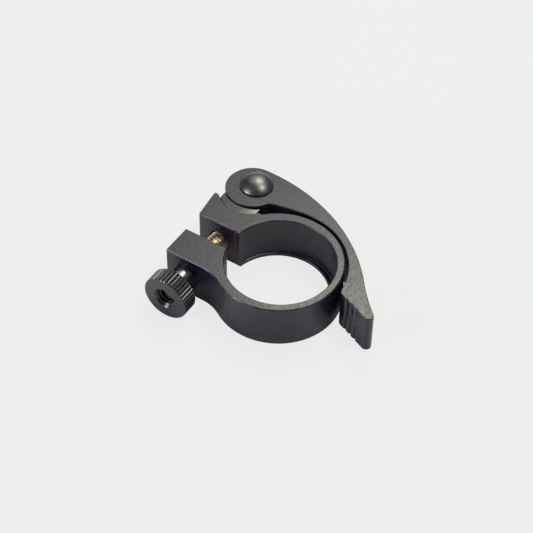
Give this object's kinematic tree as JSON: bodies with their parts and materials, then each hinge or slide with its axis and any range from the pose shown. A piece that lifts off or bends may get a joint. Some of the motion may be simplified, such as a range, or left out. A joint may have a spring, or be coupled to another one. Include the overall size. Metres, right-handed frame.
{
  "type": "seatpost clamp",
  "caption": "Quick-release seatpost clamp: split collar with two ears, cam lever on a domed pivot pin, cam seat, threaded skewer and knurled adjuster nut.",
  "frame": {"origin": "on the axis of the hole through the lip, in the plane of the collar's bottom face", "axes": "+Z along the seat tube from the lip to the open end, -X from the bore to the ears, +Y along the skewer from the nut to the cam"},
  "size_m": [0.0634, 0.0538, 0.0165],
  "materials": {
    "black_alloy": "satin black anodised",
    "seat_alloy": "plain machined",
    "dark_steel": "polished dark plating",
    "plated_steel": "yellow zinc plating"
  },
  "bodies": {
    "clamp": {"collar": "black_alloy", "cam_seat": "seat_alloy", "pivot_pin": "dark_steel", "skewer": "plated_steel"},
    "lever": {"cam_lever": "black_alloy"},
    "nut": {"adjuster_nut": "black_alloy"}
  },
  "joints": [
    {"name": "lever_swing", "type": "hinge", "parent": "clamp", "child": "lever", "pos_m": [-0.022, 0.02235, 0.00715], "axis": [0, 0, 1], "range_deg": [0, 180]},
    {"name": "nut_spin", "type": "hinge", "parent": "clamp", "child": "nut", "pos_m": [-0.022, -0.0193, 0.00715], "axis": [0, 1, 0], "continuous": true}
  ]
}
